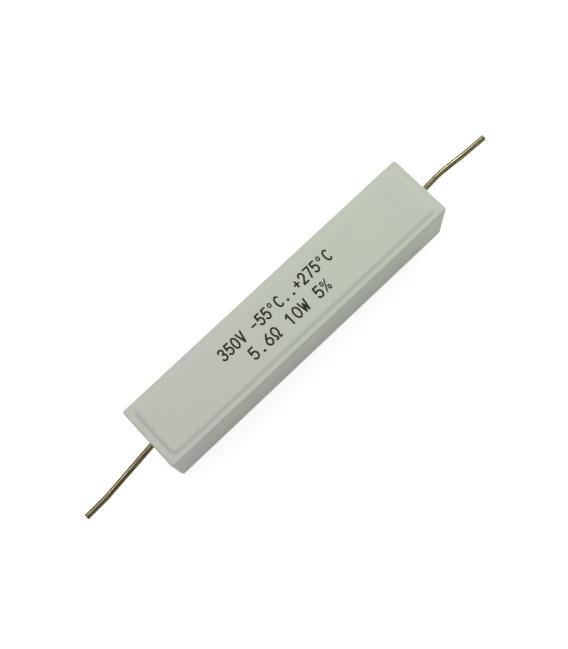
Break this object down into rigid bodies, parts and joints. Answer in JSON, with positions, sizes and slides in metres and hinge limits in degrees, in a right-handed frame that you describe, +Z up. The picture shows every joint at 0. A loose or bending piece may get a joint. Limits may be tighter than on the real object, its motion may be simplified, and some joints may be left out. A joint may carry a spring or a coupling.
{
  "type": "cement power resistor",
  "caption": "Axial cement power resistor: a long moulded ceramic case with a raised face, a wirewound element cast inside and a round lead at each end.",
  "frame": {"origin": "middle of the open rim that the case rests on, at the centre of the part's box", "axes": "+X along the case towards the right lead, +Y across the case, +Z up out of the raised face"},
  "size_m": [0.0724, 0.0096, 0.009],
  "materials": {
    "case_ceramic": "unglazed satin white ceramic",
    "cement": "matt cast cement",
    "core_ceramic": "matt ceramic rod",
    "resistance_wire": "drawn nickel-chromium wire",
    "cap_metal": "tinned pressed steel",
    "lead_metal": "bright drawn wire, lightly toned"
  },
  "bodies": {
    "root": {"ceramic_case": "case_ceramic", "cement_fill": "cement", "core_rod": "core_ceramic", "resistance_winding": "resistance_wire", "left_end_cap": "cap_metal", "right_end_cap": "cap_metal", "left_lead": "lead_metal", "right_lead": "lead_metal"}
  },
  "joints": []
}
